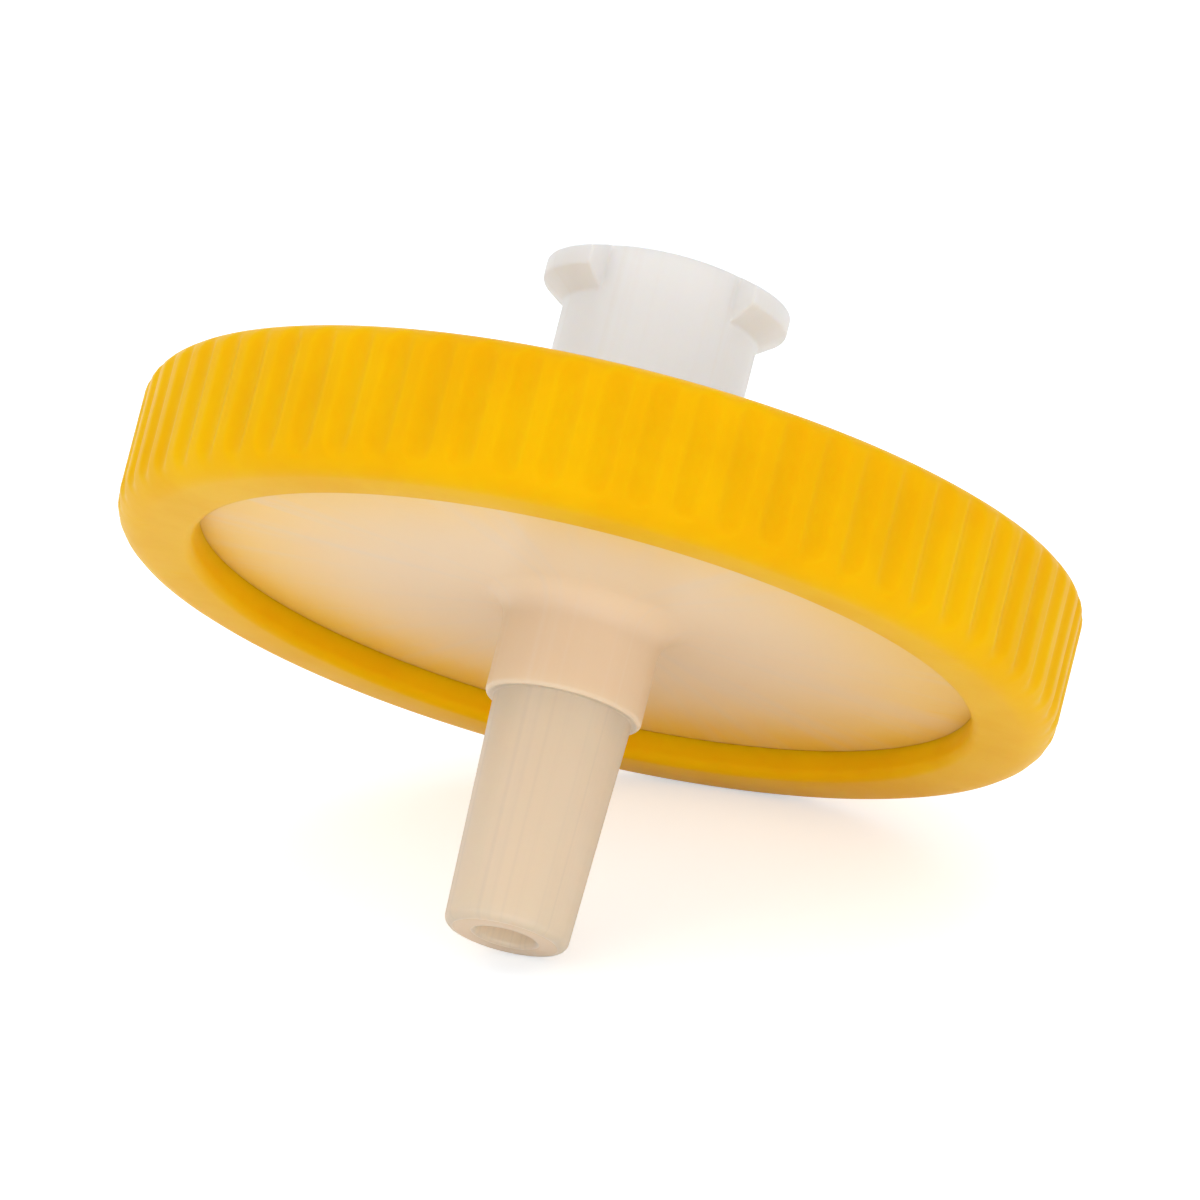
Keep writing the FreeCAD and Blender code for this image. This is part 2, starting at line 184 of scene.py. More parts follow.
def mark_stem(shape, low, high):
    """Faces between two heights belong to the hub or the tube, and take the second material."""
    for face in shape.faces:
        if low < face.calc_center_median().z < high:
            face.material_index = 1


def finish_piece(shape, name, stands_for=None):
    """Closes the mesh, lays it down and lets it ride on the body."""
    bmesh.ops.remove_doubles(shape, verts=shape.verts, dist=WELD)
    bmesh.ops.recalc_face_normals(shape, faces=shape.faces)
    for edge in shape.edges:
        edge.smooth = edge.calc_face_angle(0.0) < CRISP
    for face in shape.faces:
        face.smooth = True
    open_edges = sum(1 for edge in shape.edges if len(edge.link_faces) != 2)
    bmesh.ops.transform(shape, matrix=lay_down, verts=shape.verts)
    mesh = bpy.data.meshes.new(name)
    shape.to_mesh(mesh)
    shape.free()
    piece = bpy.data.objects.new(name, mesh)
    bpy.context.scene.collection.objects.link(piece)
    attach(piece, "root")
    if stands_for:
        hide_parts(stands_for)
    print(f"{name}: {len(mesh.polygons)} faces, {open_edges} open edges")
    return piece


# %% [markdown]
# ## The yellow ring
# The ring is moulded last, around the edges of both shells. Its outer wall carries shallow
# upright flutes for the fingers, which fade out on the rounded shoulders. Cutting 66 flutes
# with booleans would be slow and would leave ragged edges. Instead one flute's width of ring is
# spun, its wall is pressed in by the flute's round form, and the same spin operator then
# repeats that narrow slice all the way round.

# %% Outline of the ring
HAIRLINE = 0.006  # keeps faces that touch from lying in one plane
INLET_SHOULDER = 0.7
OUTLET_SHOULDER = 1.0
LIP_ROUND = 0.35

ring_outline = [
    (inlet_opening, inlet_edge, LIP_ROUND),
    (ring_radius, inlet_edge, INLET_SHOULDER),
    (ring_radius, outlet_edge, OUTLET_SHOULDER),
    (outlet_opening, outlet_edge, LIP_ROUND),
    (outlet_opening, outlet_face - HAIRLINE, 0),
    (flange_radius + HAIRLINE, outlet_face - HAIRLINE, 0),
    (flange_radius + HAIRLINE, inlet_face + HAIRLINE, 0),
    (inlet_opening, inlet_face + HAIRLINE, 0),
]
print(f"ring outline of {len(ring_outline)} corners")

# %% Press the flutes
FLUTES = 66
FLUTE_WIDTH = 0.9
FLUTE_DEPTH = 0.17
FLUTE_COLUMNS = 14
FLUTE_SOFTNESS = 0.05  # rounding where a flute meets the wall

flute_round = (FLUTE_WIDTH**2 / 4 + FLUTE_DEPTH**2) / (2 * FLUTE_DEPTH)
flute_centre = ring_radius - FLUTE_DEPTH + flute_round


def pressed(radius, turn):
    """Radius of a place on the ring once the flute at turn zero is pressed into it."""
    across = flute_centre * math.sin(turn)
    if abs(across) >= flute_round:
        return radius
    wall = flute_centre * math.cos(turn) - math.sqrt(flute_round**2 - across**2)
    blend = min(max(0.5 + 0.5 * (radius - wall) / FLUTE_SOFTNESS, 0), 1)
    return radius + (wall - radius) * blend - FLUTE_SOFTNESS * blend * (1 - blend)


def make_ring():
    pitch = FULL_TURN / FLUTES
    shape = outline(ring_outline)
    half_back = Matrix.Rotation(-pitch / 2, 3, "Z")
    bmesh.ops.rotate(shape, verts=shape.verts, cent=(0, 0, 0), matrix=half_back)
    spin_round(shape, FLUTE_COLUMNS, pitch)
    for vert in shape.verts:
        if radius_of(vert.co) > flange_radius + 2 * HAIRLINE:
            radius = radius_of(vert.co)
            share = pressed(radius, turn_of(vert.co)) / radius
            vert.co.x *= share
            vert.co.y *= share
    bmesh.ops.spin(
        shape, geom=shape.verts[:] + shape.edges[:] + shape.faces[:], cent=(0, 0, 0),
        axis=(0, 0, 1), dvec=(0, 0, 0), angle=FULL_TURN - pitch, steps=FLUTES - 1,
        use_duplicate=True,
    )
    return finish_piece(shape, "ring", "grip_ring")


ring = make_ring()

# %% [markdown]
# ## The outlet shell
# The outlet shell is a thin plate with a collar and a slim slip tip. Under the membrane it
# carries circles of short arcs that hold the membrane up and let the clean liquid run to the
# bore. The arcs grow out of the plate's own faces: the outline has a corner at each arc's edge,
# so after the spin the faces that belong to an arc only need to be extruded.

# %% Spin the outlet shell
OUTLET_COLUMNS = 240
BORE_RADIUS = 0.95
CHAMBER_DEPTH = 0.2
CLAMP_WIDTH = 1.8
SEAT_GAP = 0.1
COLLAR_STEP = 0.287
COLLAR_FILLET = 1.0
ARC_RINGS = 5
ARC_WIDTH = 0.4
ARC_BORE_GAP = 1.35
ARC_WALL_GAP = 0.4
SECTORS = 12
CHANNEL = math.radians(6)

chamber_radius = membrane_radius - CLAMP_WIDTH
seat_radius = membrane_radius + SEAT_GAP
slip_base = mounts["outlet_luer"]["dims"]["r_mm"]
slip_length = mounts["outlet_luer"]["dims"]["length_mm"]
LUER_TAPER = 0.06
slip_tip = slip_base - LUER_TAPER * slip_length / 2
collar_radius = slip_base + COLLAR_STEP
collar_end = tip + slip_length
outlet_floor = -membrane_half - CHAMBER_DEPTH
first_arc = BORE_RADIUS + ARC_BORE_GAP
last_arc = chamber_radius - ARC_WALL_GAP - ARC_WIDTH
arc_starts = [first_arc + i * (last_arc - first_arc) / (ARC_RINGS - 1) for i in range(ARC_RINGS)]


def make_outlet_shell():
    seat = -membrane_half - HAIRLINE
    rim = membrane_half - HAIRLINE
    arc_corners = [(r, outlet_floor, 0) for start in arc_starts for r in (start, start + ARC_WIDTH)]
    shape = outline(
        [(BORE_RADIUS, outlet_floor, 0.1)]
        + arc_corners
        + [
            (chamber_radius, outlet_floor, 0),
            (chamber_radius, seat, 0),
            (seat_radius, seat, 0),
            (seat_radius, rim, 0),
            (flange_radius, rim, 0),
            (flange_radius, outlet_face, 0),
            (collar_radius, outlet_face, COLLAR_FILLET),
            (collar_radius, collar_end, 0.15),
            (slip_base, collar_end, 0.06),
            (slip_tip, tip, 0.3),
            (BORE_RADIUS, tip, 0.15),
        ]
    )
    spin_round(shape, OUTLET_COLUMNS)
    raise_arcs(shape, seat)
    mark_stem(shape, tip, collar_end + NEAR)
    return finish_piece(shape, "outlet_shell", "outlet_housing")


def raise_arcs(shape, top):
    """Extrudes the faces of the support arcs up to the membrane."""
    sector = FULL_TURN / SECTORS
    arc_faces = []
    for face in shape.faces:
        centre = face.calc_center_median()
        radius = radius_of(centre)
        on_floor = abs(centre.z - outlet_floor) < NEAR
        on_ring = any(start < radius < start + ARC_WIDTH for start in arc_starts)
        from_middle = abs((turn_of(centre) + sector / 2) % sector - sector / 2)
        if on_floor and on_ring and from_middle < (sector - CHANNEL) / 2:
            arc_faces.append(face)
    raised = bmesh.ops.extrude_face_region(shape, geom=arc_faces)["geom"]
    bmesh.ops.delete(shape, geom=arc_faces, context="FACES")
    new_verts = [item for item in raised if isinstance(item, bmesh.types.BMVert)]
    bmesh.ops.translate(shape, verts=new_verts, vec=(0, 0, top - outlet_floor))
    print(f"{ARC_RINGS * SECTORS} arcs raised")


outlet_shell = make_outlet_shell()

# %% [markdown]
# ## The inlet shell
# The inlet shell has a slightly raised panel and a hub with a tapered socket, which takes the
# tip of a syringe. Two lugs at its mouth catch the thread of the syringe's collar. The lugs are
# extruded from the hub's own wall. Their rim is pulled out to its radius, while both ends stay
# on the wall, and that gives the sloped top and underside. A bevel then softens every crisp fold.

# %% Spin the inlet shell and pull out its lugs
INLET_COLUMNS = 180
PORT_RADIUS = 0.9
HUB_WALL = 0.95
HUB_FILLET = 0.6
LUG_SLOPE = 0.6
LUG_SOFTNESS = 0.08
PANEL_MARGIN = 1.65
PANEL_RISE = 0.2
PANEL_ROUND = 0.15
LEAD_IN = 0.15

socket_depth = mounts["inlet_luer"]["dims"]["length_mm"]
socket_end_radius = mounts["inlet_luer"]["dims"]["r_mm"]
socket_mouth = socket_end_radius + LUER_TAPER * socket_depth / 2
hub_radius = socket_mouth + HUB_WALL
panel_radius = inlet_opening - PANEL_MARGIN
panel_top = inlet_face + PANEL_RISE
inlet_roof = membrane_half + CHAMBER_DEPTH
lug_slope_end = lug_rim_end - LUG_SLOPE


def make_inlet_shell():
    clamp = membrane_half + HAIRLINE
    shape = outline(
        [
            (PORT_RADIUS, inlet_roof, 0.05),
            (chamber_radius, inlet_roof, 0),
            (chamber_radius, clamp, 0),
            (flange_radius, clamp, 0),
            (flange_radius, inlet_face, 0),
            (panel_radius, inlet_face, 0),
            (panel_radius, panel_top, PANEL_ROUND),
            (hub_radius, panel_top, HUB_FILLET),
            (hub_radius, lug_slope_end, 0),
            (hub_radius, lug_rim_end, 0),
            (hub_radius, lug_rim_start, 0),
            (hub_radius, mouth, 0),
            (socket_mouth, mouth, LEAD_IN),
            (socket_end_radius, mouth - socket_depth, 0.1),
            (PORT_RADIUS, mouth - socket_depth, 0.1),
        ]
    )
    spin_round(shape, INLET_COLUMNS)
    pull_out_lugs(shape)
    add_spokes(shape)
    mark_stem(shape, panel_top + HUB_FILLET - NEAR, mouth + NEAR)
    turn = Matrix.Rotation(lug_middle, 3, "Z")
    bmesh.ops.rotate(shape, verts=shape.verts, cent=(0, 0, 0), matrix=turn)
    return finish_piece(shape, "inlet_shell", "inlet_housing")


def pull_out_lugs(shape):
    """Extrudes two lugs from the hub's wall and softens their edges."""
    lug_faces = []
    for face in shape.faces:
        centre = face.calc_center_median()
        on_wall = abs(radius_of(centre) - hub_radius) < 2 * NEAR and centre.z > lug_slope_end
        from_middle = abs((turn_of(centre) + math.pi / 2) % math.pi - math.pi / 2)
        if on_wall and from_middle < lug_half:
            lug_faces.append(face)
    pulled = bmesh.ops.extrude_face_region(shape, geom=lug_faces)["geom"]
    bmesh.ops.delete(shape, geom=lug_faces, context="FACES")
    corners = [item for item in pulled if isinstance(item, bmesh.types.BMVert)]
    for corner in corners:
        if lug_rim_end - NEAR < corner.co.z < lug_rim_start + NEAR:
            share = lug_radius / radius_of(corner.co)
            corner.co.x *= share
            corner.co.y *= share
    bmesh.ops.remove_doubles(shape, verts=shape.verts, dist=WELD)
    bmesh.ops.recalc_face_normals(shape, faces=shape.faces)
    soften = [edge for edge in shape.edges if is_lug_edge(edge)]
    bmesh.ops.bevel(
        shape, geom=soften, offset=LUG_SOFTNESS, offset_type="OFFSET", segments=3,
        profile=0.5, material=-1, affect="EDGES", loop_slide=True,
    )
    print(f"two lugs pulled out, {len(soften)} edges softened")


def is_lug_edge(edge):
    """Whether an edge is a fold on the outside of the hub, at its mouth or on a lug."""
    middle_of_edge = (edge.verts[0].co + edge.verts[1].co) / 2
    outside = radius_of(middle_of_edge) > hub_radius - 5 * NEAR
    high_up = middle_of_edge.z > lug_slope_end - NEAR
    return outside and high_up and edge.calc_face_angle(0.0) > math.radians(30)


# %% [markdown]
# Under the inlet plate, eight narrow spokes spread the liquid over the membrane. They show only
# as a faint star through the milky plate, so each is a plain bar that reaches a little way into
# the plate, and no more than that.

# %% Spokes under the inlet plate
SPOKES = 8
SPOKE_WIDTH = 0.5
SPOKE_PORT_GAP = 1.3
SPOKE_WALL_GAP = 0.9


def add_spokes(shape):
    start = PORT_RADIUS + SPOKE_PORT_GAP
    end = chamber_radius - SPOKE_WALL_GAP
    floor = membrane_half + HAIRLINE
    size = Vector((end - start, SPOKE_WIDTH, inlet_roof + HAIRLINE - floor))
    centre = Vector(((start + end) / 2, 0, floor + size.z / 2))
    for number in range(SPOKES):
        around = Matrix.Rotation(number * FULL_TURN / SPOKES, 4, "Z")
        place = around @ Matrix.Translation(centre) @ Matrix.Diagonal((*size, 1))
        bmesh.ops.create_cube(shape, size=1, matrix=place)
    print(f"{SPOKES} spokes, {size.x:.1f} mm long")


inlet_shell = make_inlet_shell()

# %% [markdown]
# ## A printed mark
# Filters of this kind carry a short line of print on the inlet face, which tells one grade from
# another. Here it is a neutral row of bars and dots that says nothing. Pad printing leaves a
# film of ink with an even height, so each mark is a thin, low solid set on the panel.

# %% Print the marks
INK_HEIGHT = 0.012
MARK_RADIUS = 7.2
MARK_STEP = math.radians(8.5)
MARK_SHIFT = 0.5  # how far the halves of a pair, and a dot, stand off the middle of the row
MARK_START = math.radians(-40)
MARKS = "|:|.|:||."  # a bar, a short pair or a dot for each character
BAR = (1.5, 0.26)
PAIR = (0.5, 0.26)
DOT_RADIUS = 0.19


def add_bar(shape, turn, along, size):
    """A flat bar of ink that points away from the hub."""
    place = Matrix.Rotation(turn, 4, "Z") @ Matrix.Translation((MARK_RADIUS + along, 0, panel_top))
    stretch = Matrix.Diagonal((*size, 2 * INK_HEIGHT, 1))
    bmesh.ops.create_cube(shape, size=1, matrix=place @ stretch)


def add_dot(shape, turn):
    place = Matrix.Rotation(turn, 4, "Z") @ Matrix.Translation((MARK_RADIUS - MARK_SHIFT, 0, panel_top))
    bmesh.ops.create_cone(
        shape, cap_ends=True, segments=20, radius1=DOT_RADIUS, radius2=DOT_RADIUS,
        depth=2 * INK_HEIGHT, matrix=place,
    )


def make_print():
    shape = bmesh.new()
    for number, mark in enumerate(MARKS):
        turn = MARK_START + number * MARK_STEP
        if mark == "|":
            add_bar(shape, turn, 0, BAR)
        elif mark == ":":
            add_bar(shape, turn, -MARK_SHIFT, PAIR)
            add_bar(shape, turn, MARK_SHIFT, PAIR)
        else:
            add_dot(shape, turn)
    return finish_piece(shape, "face_print")


face_print = make_print()

# %% [markdown]
# ## Helpers for materials
# A procedural material is a small network, and written out node by node it is hard to follow.
# One helper adds a node and fills its inputs, each with a plain value or with a socket to link
# from. Others do sums, mix colours, and open or place a node group with named inputs and
# outputs. Effects that both plastics share live in such groups, so they are built once and set
# differently in each.

# %% Node helpers
def fill(tree, socket, value):
    """Gives an input a plain value, or links it from another node's socket."""
    if isinstance(value, bpy.types.NodeSocket):
        tree.links.new(value, socket)
    else:
        socket.default_value = value


def add_node(tree, kind, inputs=None, **settings):
    """Adds a node with its settings, and fills its inputs by name or number."""
    node = tree.nodes.new(kind)
    for setting, value in settings.items():
        setattr(node, setting, value)
    for key, value in (inputs or {}).items():
        fill(tree, node.inputs[key], value)
    return node


def calculate(tree, operation, first, second=0.0, third=0.0):
    """The result of a Math node."""
    inputs = {0: first, 1: second, 2: third}
    return add_node(tree, "ShaderNodeMath", inputs, operation=operation).outputs[0]


def blend_colours(tree, share, first, second):
    """Colour between two colours, by a share from 0 to 1."""
    node = add_node(tree, "ShaderNodeMix", data_type="RGBA")
    for name, value in (("Factor", share), ("A", first), ("B", second)):
        fill(tree, next(s for s in node.inputs if s.name == name and s.enabled), value)
    return next(s for s in node.outputs if s.enabled)


def rescale(tree, value, low, high, new_low=0.0, new_high=1.0):
    """A value moved from one range to another, smoothly and never past its ends."""
    inputs = {"Value": value, 1: low, 2: high, 3: new_low, 4: new_high}
    node = add_node(tree, "ShaderNodeMapRange", inputs, interpolation_type="SMOOTHSTEP")
    return node.outputs[0]


def new_group(name, inputs, outputs):
    """An empty node group with named sockets: each has a name, a type and a default."""
    group = bpy.data.node_groups.new(name, "ShaderNodeTree")
    for socket, kind, default in inputs:
        made = group.interface.new_socket(socket, in_out="INPUT", socket_type=kind)
        if default is not None:
            made.default_value = default
    for socket, kind in outputs:
        group.interface.new_socket(socket, in_out="OUTPUT", socket_type=kind)
    return group, add_node(group, "NodeGroupInput"), add_node(group, "NodeGroupOutput")


def use_group(tree, group, inputs=None):
    """Places a node group in a material or in another group."""
    return add_node(tree, "ShaderNodeGroup", inputs, node_tree=group).outputs


FLOAT = "NodeSocketFloat"
VECTOR = "NodeSocketVector"
print("node helpers ready")

# %% [markdown]
# ## Where on the filter am I?
# Moulded plastic shows the way it was filled and cooled, and that pattern is round too. The
# first group turns Object coordinates back upright, in millimetres, and gives the radius, the
# height and the turn about the flow axis. A Mapping node of the texture kind applies the very
# inverse of the matrix that laid the meshes down.

# %% Group: place about the flow axis
def make_flow_place():
    group, given, result = new_group(
        "flow_place", [("Vector", VECTOR, None)],
        [("Place", VECTOR), ("Radius", FLOAT), ("Height", FLOAT), ("Turn", FLOAT)],
    )
    inputs = {
        "Vector": given.outputs["Vector"],
        "Location": middle,
        "Rotation": lay_down.to_euler(),
        "Scale": (MM, MM, MM),
    }
    place = add_node(group, "ShaderNodeMapping", inputs, vector_type="TEXTURE").outputs[0]
    parts = add_node(group, "ShaderNodeSeparateXYZ", {0: place}).outputs
    squares = calculate(group, "MULTIPLY", parts["X"], parts["X"])
    radius = calculate(group, "SQRT", calculate(group, "MULTIPLY_ADD", parts["Y"], parts["Y"], squares))
    turn = calculate(group, "ARCTAN2", parts["Y"], parts["X"])
    for name, socket in (("Place", place), ("Radius", radius), ("Height", parts["Z"]), ("Turn", turn)):
        group.links.new(socket, result.inputs[name])
    return group


flow_place = make_flow_place()
print("group:", flow_place.name)

# %% [markdown]
# ## The skin of a moulding
# Close up, injection-moulded plastic is never quite smooth. It has a fine orange peel from the
# mould's surface, broad waves where it shrank, cloudy patches in its colour, and hairline scuffs
# from tumbling about with its neighbours. All are noise at different scales. The group puts
# out a height for the bump, a cloudiness for colour and a scuff mask for roughness.

# %% Group: moulded skin
PEEL_SIZE = 0.28  # millimetres
WAVE_SIZE = 2.6
CLOUD_SIZE = 4.5


def noise(tree, place, size, detail=2.0, roughness=0.5):
    """Noise from 0 to 1, with lumps of about a given size in millimetres."""
    inputs = {"Vector": place, "Scale": 1 / size, "Detail": detail, "Roughness": roughness}
    return add_node(tree, "ShaderNodeTexNoise", inputs).outputs[0]


def scuff_lines(tree, place, turned, seed):
    """Mask of hairline scuffs that run one way: noise stretched out long and cut thin."""
    inputs = {
        "Vector": place,
        "Location": (seed, seed, seed),
        "Rotation": turned,
        "Scale": (0.25, 6.0, 0.9),
    }
    stretched = add_node(tree, "ShaderNodeMapping", inputs).outputs[0]
    line = noise(tree, stretched, 1.0, 1.0)
    off_middle = calculate(tree, "ABSOLUTE", calculate(tree, "SUBTRACT", line, 0.5))
    thin = rescale(tree, off_middle, 0.0, 0.02, 1.0, 0.0)
    patches = rescale(tree, noise(tree, place, 3.0), 0.55, 0.7)
    return calculate(tree, "MULTIPLY", thin, patches)


def make_moulded_skin():
    group, given, result = new_group(
        "moulded_skin",
        [("Place", VECTOR, None), ("Peel", FLOAT, 0.25), ("Wave", FLOAT, 1.0)],
        [("Height", FLOAT), ("Cloud", FLOAT), ("Scuffs", FLOAT)],
    )
    place = given.outputs["Place"]
    peel = calculate(group, "MULTIPLY", noise(group, place, PEEL_SIZE), given.outputs["Peel"])
    waves = calculate(group, "MULTIPLY", noise(group, place, WAVE_SIZE), given.outputs["Wave"])
    one_way = scuff_lines(group, place, (0.3, 0.2, 0.5), 0.0)
    other_way = scuff_lines(group, place, (0.1, 0.9, -0.7), 40.0)
    scuffs = calculate(group, "MAXIMUM", one_way, other_way)
    height = calculate(group, "ADD", peel, waves)
    cloud = noise(group, place, CLOUD_SIZE, 4.0, 0.6)
    for name, socket in (("Height", height), ("Cloud", cloud), ("Scuffs", scuffs)):
        group.links.new(socket, result.inputs[name])
    return group


moulded_skin = make_moulded_skin()
print("group:", moulded_skin.name)

# %% [markdown]
# ## Starting a material
# Each material begins alike: Object coordinates go through the flow group, and a Principled
# shader waits for its inputs. Whatever is the same all over the surface, such as the index of
# refraction or the colour of light under the skin, is set on the shader's own sockets.

# %% Open a material
def open_material(name, constants):
    """A new material: its node tree, its shader, and where a point lies on the filter."""
    material = bpy.data.materials.new(name)
    material.use_nodes = True
    tree = material.node_tree
    shader = tree.nodes["Principled BSDF"]
    for socket, value in constants.items():
        shader.inputs[socket].default_value = value
    coordinates = add_node(tree, "ShaderNodeTexCoord").outputs["Object"]
    return material, tree, shader, use_group(tree, flow_place, {"Vector": coordinates})


def dress(tree, shader, inputs, height, depth):
    """Links the changing inputs of a shader, and its bump, whose depth is in millimetres."""
    for socket, value in inputs.items():
        tree.links.new(value, shader.inputs[socket])
    bump = add_node(tree, "ShaderNodeBump", {"Height": height, "Strength": 1.0, "Distance": depth * MM})
    tree.links.new(bump.outputs[0], shader.inputs["Normal"])


POLYPROPYLENE_IOR = 1.49
print("materials start from", flow_place.name)

# %% [markdown]
# ## Yellow polypropylene
# The ring is dyed right through with a warm yellow, with a soft gloss. Light goes a little way
# into the plastic and comes back more orange, which is why the shaded lip looks deep and warm,
# not grey. Subsurface scattering gives that for free. The colour is slightly uneven, and the
# scuffs only change the gloss.

# %% Yellow plastic
YELLOW = (0.875, 0.490, 0.002, 1)
DEEP_YELLOW = (0.840, 0.440, 0.002, 1)


def make_yellow():
    material, tree, shader, at = open_material(
        "yellow_plastic",
        {
            "IOR": POLYPROPYLENE_IOR,
            "Specular IOR Level": 0.06,
            "Specular Tint": (1.0, 0.75, 0.2, 1),
            "Subsurface Weight": 0.5,
            "Subsurface Radius": (1.0, 0.45, 0.05),
            "Subsurface Scale": 1.4 * MM,
        },
    )
    skin = use_group(tree, moulded_skin, {"Place": at["Place"], "Peel": 0.2, "Wave": 0.8})
    cloudy = rescale(tree, skin["Cloud"], 0.35, 0.7)
    colour = blend_colours(tree, cloudy, YELLOW, DEEP_YELLOW)
    gloss = calculate(tree, "MULTIPLY_ADD", cloudy, 0.06, 0.38)
    roughness = calculate(tree, "MULTIPLY_ADD", skin["Scuffs"], 0.12, gloss)
    dress(tree, shader, {"Base Color": colour, "Roughness": roughness}, skin["Height"], 0.01)
    return material


ring.data.materials.append(make_yellow())
print("yellow plastic on the ring")

# %% [markdown]
# ## Natural polypropylene
# Without dye the same plastic is milky: light passes, but no clear picture. The thin walls of
# the tube and the hub let more of it through than the plates, so each shell takes two
# materials. Both scatter, and the clearer one also transmits through a rough surface. The tone
# changes softly at the root of each stem; on the outlet the darker collar is painted shade. Where
# the plates dive under the ring, a warm rim is painted into the colour: a painted glow for the
# ring's yellow light shining through them, which also lifts the shade next to the lip. The outlet
# plate's warm beige is partly the plastic's own tone and partly painted warm light from the
# ring. From the gate at the middle the plastic flowed outwards, and left faint streaks that
# follow the turn.

# %% Natural plastic
STREAK = (0.780, 0.670, 0.560, 1)
STREAK_TURNS = 9.0  # more makes the streaks narrower
STREAK_DRIFT = 0.06  # how fast a streak changes along its length
# Over this length the plate's tone fades into the collar's painted shade.
COLLAR_SHADE_FADE = 1.0  # millimetres over which the plate's tone gives way to the collar's
# Outlet plate tone: partly the plastic's own beige, partly painted warm light that the yellow ring
# sheds on the plate.
OUTLET_PLATE_TONE_AND_WARM_LIGHT = (0.880, 0.675, 0.450, 1)
# Collar tone: painted shade, darker than the plate where less light shines through the thick collar.
OUTLET_COLLAR_PAINTED_SHADE = (0.760, 0.600, 0.430, 1)
OUTLET_TUBE = (0.985, 0.820, 0.645, 1)
# Outlet rim tone: painted glow of the ring's yellow light shining through the plate, which also lifts
# the shade next to the lip.
OUTLET_RIM_PAINTED_GLOW = (0.965, 0.590, 0.100, 1)
INLET_PLATE = (0.920, 0.885, 0.830, 1)
INLET_HUB = (0.960, 0.955, 0.960, 1)
# Inlet rim tone: painted glow of the ring's yellow light shining through the plate.
INLET_RIM_PAINTED_GLOW = (0.930, 0.700, 0.330, 1)


def flow_streaks(tree, at):
    """Faint streaks that run out from the middle."""
    sine = calculate(tree, "SINE", at["Turn"])
    cosine = calculate(tree, "COSINE", at["Turn"])
    inputs = {
        "X": calculate(tree, "MULTIPLY", sine, STREAK_TURNS),
        "Y": calculate(tree, "MULTIPLY", cosine, STREAK_TURNS),
        "Z": calculate(tree, "MULTIPLY", at["Radius"], STREAK_DRIFT),
    }
    polar = add_node(tree, "ShaderNodeCombineXYZ", inputs).outputs[0]
    return rescale(tree, noise(tree, polar, 1.0, 3.0), 0.45, 0.8)


def make_natural(name, tones, ramps, clarity, scatter, streaking):
    """Milky plastic with a tone on the plate, one on the stem and a painted glow next to the ring; on
    the outlet the stem's darker tone is painted shade.
    """
    material, tree, shader, at = open_material(
        name,
        {
            "IOR": POLYPROPYLENE_IOR,
            "Transmission Weight": clarity,
            "Subsurface Weight": 0.6,
            "Subsurface Radius": (1.0, 0.85, 0.7),
            "Subsurface Scale": scatter * MM,
        },
    )
    plate, stem, rim = tones
    root_start, root_end, rim_start, rim_end = ramps
    skin = use_group(tree, moulded_skin, {"Place": at["Place"], "Peel": 0.15, "Wave": 1.0})
    # Painted glow: by radius the tone warms towards the ring, standing in for its yellow light shining
    # through the plate.
    painted_rim_glow = calculate(tree, "POWER", rescale(tree, at["Radius"], rim_start, rim_end), 2.0)
    # By height the tone turns to the stem's; on the outlet this is the collar's painted shade.
    stem_tone_and_collar_shade = rescale(tree, at["Height"], root_start, root_end)
    tint = blend_colours(tree, stem_tone_and_collar_shade, blend_colours(tree, painted_rim_glow, plate, rim), stem)
    streaks = calculate(tree, "MULTIPLY", flow_streaks(tree, at), streaking)
    colour = blend_colours(tree, streaks, tint, STREAK)
    gloss = calculate(tree, "MULTIPLY_ADD", skin["Cloud"], 0.12, 0.34)
    roughness = calculate(tree, "MULTIPLY_ADD", skin["Scuffs"], 0.15, gloss)
    dress(tree, shader, {"Base Color": colour, "Roughness": roughness}, skin["Height"], 0.01)
    return material


outlet_tones = (OUTLET_PLATE_TONE_AND_WARM_LIGHT, OUTLET_COLLAR_PAINTED_SHADE, OUTLET_RIM_PAINTED_GLOW)
tube_tones = (OUTLET_TUBE, OUTLET_TUBE, OUTLET_RIM_PAINTED_GLOW)
inlet_tones = (INLET_PLATE, INLET_HUB, INLET_RIM_PAINTED_GLOW)
outlet_ramps = (outlet_face, outlet_face - COLLAR_SHADE_FADE, collar_radius, outlet_opening)
inlet_ramps = (panel_top, panel_top + HUB_FILLET, panel_radius, inlet_opening)
for shell, name, tones, ramps, clarity, scatter, streaking in (
    (outlet_shell, "natural_outlet_plate", outlet_tones, outlet_ramps, 0.0, 1.2, 0.3),
    (outlet_shell, "natural_outlet_tube", tube_tones, outlet_ramps, 0.4, 1.0, 0.4),
    (inlet_shell, "natural_inlet_plate", inlet_tones, inlet_ramps, 0.0, 1.2, 0.3),
    (inlet_shell, "natural_inlet_hub", inlet_tones, inlet_ramps, 0.2, 0.4, 0.15),
):
    plastic = make_natural(name, tones, ramps, clarity, scatter, streaking)
    shell.data.materials.append(plastic)
print("natural plastic on both shells")

# %% [markdown]
# ## Nylon membrane
# The membrane is a felt of fibres finer than the eye can see, matt and almost paper white. It
# keeps its construction mesh, because a flat disc is already the right shape, and gets only a
# material with a soft fibrous grain.

# %% Membrane
PAPER_WHITE = (0.900, 0.885, 0.850, 1)
FIBRE_SHADE = (0.820, 0.800, 0.750, 1)


def make_membrane_finish():
    material, tree, shader, at = open_material("membrane_white", {"Roughness": 0.95})
    fibres = noise(tree, at["Place"], 0.12, 5.0, 0.7)
    blotches = noise(tree, at["Place"], 1.8, 3.0)
    shade = calculate(tree, "MULTIPLY", fibres, blotches)
    colour = blend_colours(tree, shade, PAPER_WHITE, FIBRE_SHADE)
    dress(tree, shader, {"Base Color": colour}, fibres, 0.01)
    return material


